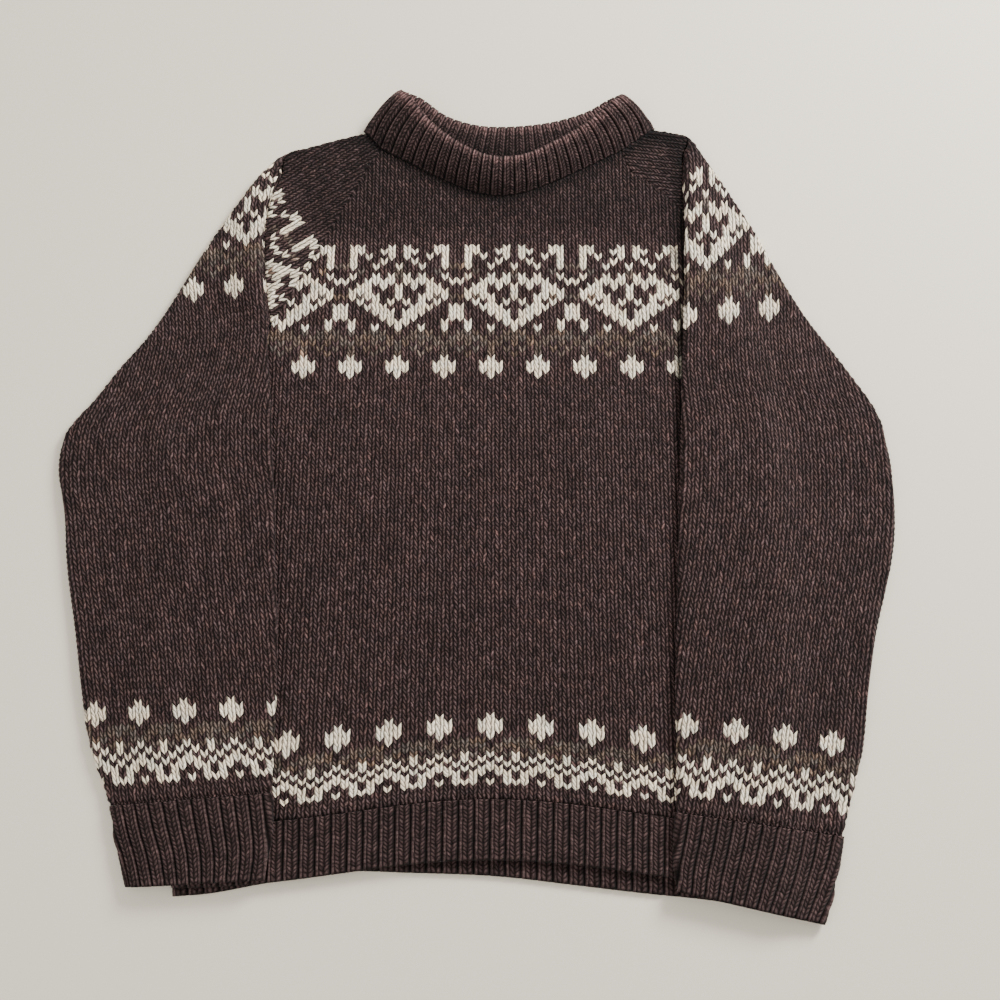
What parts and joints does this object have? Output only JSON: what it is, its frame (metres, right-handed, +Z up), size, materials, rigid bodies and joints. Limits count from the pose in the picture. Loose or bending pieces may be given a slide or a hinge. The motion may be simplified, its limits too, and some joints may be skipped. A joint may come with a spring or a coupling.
{
  "type": "fair isle sweater",
  "caption": "Knitted crew-neck pullover with raglan sleeves, laid flat face up with both sleeves turned down over its sides, patterned bands and ribbed edgings.",
  "frame": {"origin": "centre of the bounding box in plan, on the surface that the sweater lies on", "axes": "+X to the right of the sweater as seen from above, +Y from the hem to the neck, +Z up from the surface"},
  "size_m": [0.768, 0.7791, 0.0291],
  "materials": {
    "fair_isle_knit": "matt heather wool in plain knit, charcoal brown with cream and tan stranded motifs",
    "rib_knit": "matt heather wool in knit and purl rib, charcoal brown"
  },
  "bodies": {
    "root": {"front_panel": "fair_isle_knit", "back_panel": "fair_isle_knit", "left_sleeve": "fair_isle_knit", "right_sleeve": "fair_isle_knit", "front_hem_rib": "rib_knit", "back_hem_rib": "rib_knit", "left_cuff": "rib_knit", "right_cuff": "rib_knit", "neckband": "rib_knit"}
  },
  "joints": []
}
